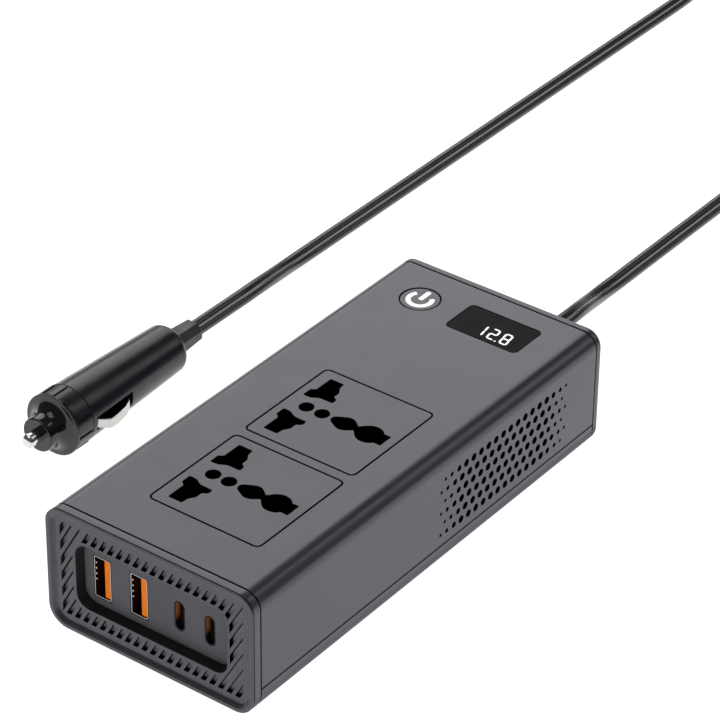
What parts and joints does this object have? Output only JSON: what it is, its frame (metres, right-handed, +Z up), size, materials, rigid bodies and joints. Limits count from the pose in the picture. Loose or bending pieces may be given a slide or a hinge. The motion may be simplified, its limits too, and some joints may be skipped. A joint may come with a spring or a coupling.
{
  "type": "power inverter",
  "caption": "Slim car power inverter with mains sockets, charging ports, push button, voltage display, side fan and a flat twin lead ending in a lighter-socket plug.",
  "frame": {"origin": "centre of the case's footprint, on the surface its feet stand on", "axes": "+Z up out of the socket face, -Y out of the face with the charging ports, +Y out of the face the lead leaves, +X out of the side the fan blows through"},
  "size_m": [0.1334, 0.4512, 0.0391],
  "materials": {
    "case_plastic": "satin, very fine grain",
    "face_plastic": "satin, very fine grain",
    "black_plastic": "matte moulded",
    "rubber": "matte, soft",
    "cord_jacket": "soft satin",
    "steel": "bright",
    "contact_brass": "bright",
    "plated_metal": "nickel plated",
    "white_print": "white print",
    "white_plastic": "moulded",
    "dark_window": "smoked, polished",
    "circuit_board": "green lacquer",
    "ferrite": "sintered, matte",
    "copper_winding": "enamelled copper wire",
    "capacitor_can": "printed sleeve",
    "heat_sink_metal": "extruded",
    "fuse_plastic": "translucent red",
    "wire_insulation": "smooth",
    "orange_plastic": "moulded",
    "brown_plastic": "moulded",
    "plug_plastic": "glossy black",
    "fuse_glass": "clear"
  },
  "bodies": {
    "case": {"upper_shell": "case_plastic", "base_tray": "case_plastic", "front_collar": "case_plastic", "front_bezel": "face_plastic", "pocket_liner": "black_plastic", "port_panel": "face_plastic", "rear_cap": "case_plastic", "feet": "rubber", "case_screws": "steel", "socket_face_front": "case_plastic", "socket_face_rear": "case_plastic", "socket_block_front": "black_plastic", "socket_block_rear": "black_plastic", "live_contacts": "contact_brass", "neutral_contacts": "contact_brass", "earth_contacts": "plated_metal", "tact_switch": "black_plastic", "display_window": "dark_window", "display_digits": "white_print", "display_module": "white_plastic", "control_board": "circuit_board", "main_board": "circuit_board", "transformer_core": "ferrite", "transformer_winding": "copper_winding", "choke_core": "ferrite", "choke_winding": "copper_winding", "capacitors": "capacitor_can", "transistors": "black_plastic", "heat_sink": "heat_sink_metal", "board_fuse": "fuse_plastic", "fan_frame": "black_plastic", "dc_leads": "wire_insulation", "usb_board": "circuit_board", "usb_a_shells": "plated_metal", "usb_a_tongues": "orange_plastic", "usb_c_shells": "plated_metal", "usb_c_tongues": "brown_plastic", "cord_gland": "rubber", "cord_from_case": "cord_jacket", "cord_coil": "cord_jacket", "cord_tie": "black_plastic", "cord_to_plug": "cord_jacket", "plug_barrel": "plug_plastic", "plug_collar": "plug_plastic", "plug_nose": "plug_plastic", "tip_spring": "steel", "plug_carrier": "white_plastic", "plug_boot": "rubber"},
    "button": {"power_button": "case_plastic", "button_symbol": "white_print"},
    "fan_wheel": {"fan_rotor": "black_plastic"},
    "tip": {"plug_tip": "plated_metal", "plug_fuse": "fuse_glass"},
    "right_contact": {"plug_contact_right": "plated_metal"},
    "left_contact": {"plug_contact_left": "plated_metal"}
  },
  "joints": [
    {"name": "button_press", "type": "slide", "parent": "case", "child": "button", "axis": [0, 0, -1], "range_m": [0, 0.0006], "stiffness_N_per_m": 2000, "springref_m": -0.0003},
    {"name": "fan_spin", "type": "hinge", "parent": "case", "child": "fan_wheel", "pos_m": [0.026, 0.03315, 0.0222], "axis": [1, 0, 0], "continuous": true},
    {"name": "tip_press", "type": "slide", "parent": "case", "child": "tip", "axis": [0, 1, 0], "range_m": [0, 0.003], "stiffness_N_per_m": 1500, "springref_m": -0.001, "deforming": ["tip_spring"]},
    {"name": "right_contact_press", "type": "slide", "parent": "case", "child": "right_contact", "axis": [-1, 0, 0], "range_m": [0, 0.0022], "stiffness_N_per_m": 1500, "springref_m": -0.0003},
    {"name": "left_contact_press", "type": "slide", "parent": "case", "child": "left_contact", "axis": [1, 0, 0], "range_m": [0, 0.0022], "stiffness_N_per_m": 1500, "springref_m": -0.0003}
  ]
}
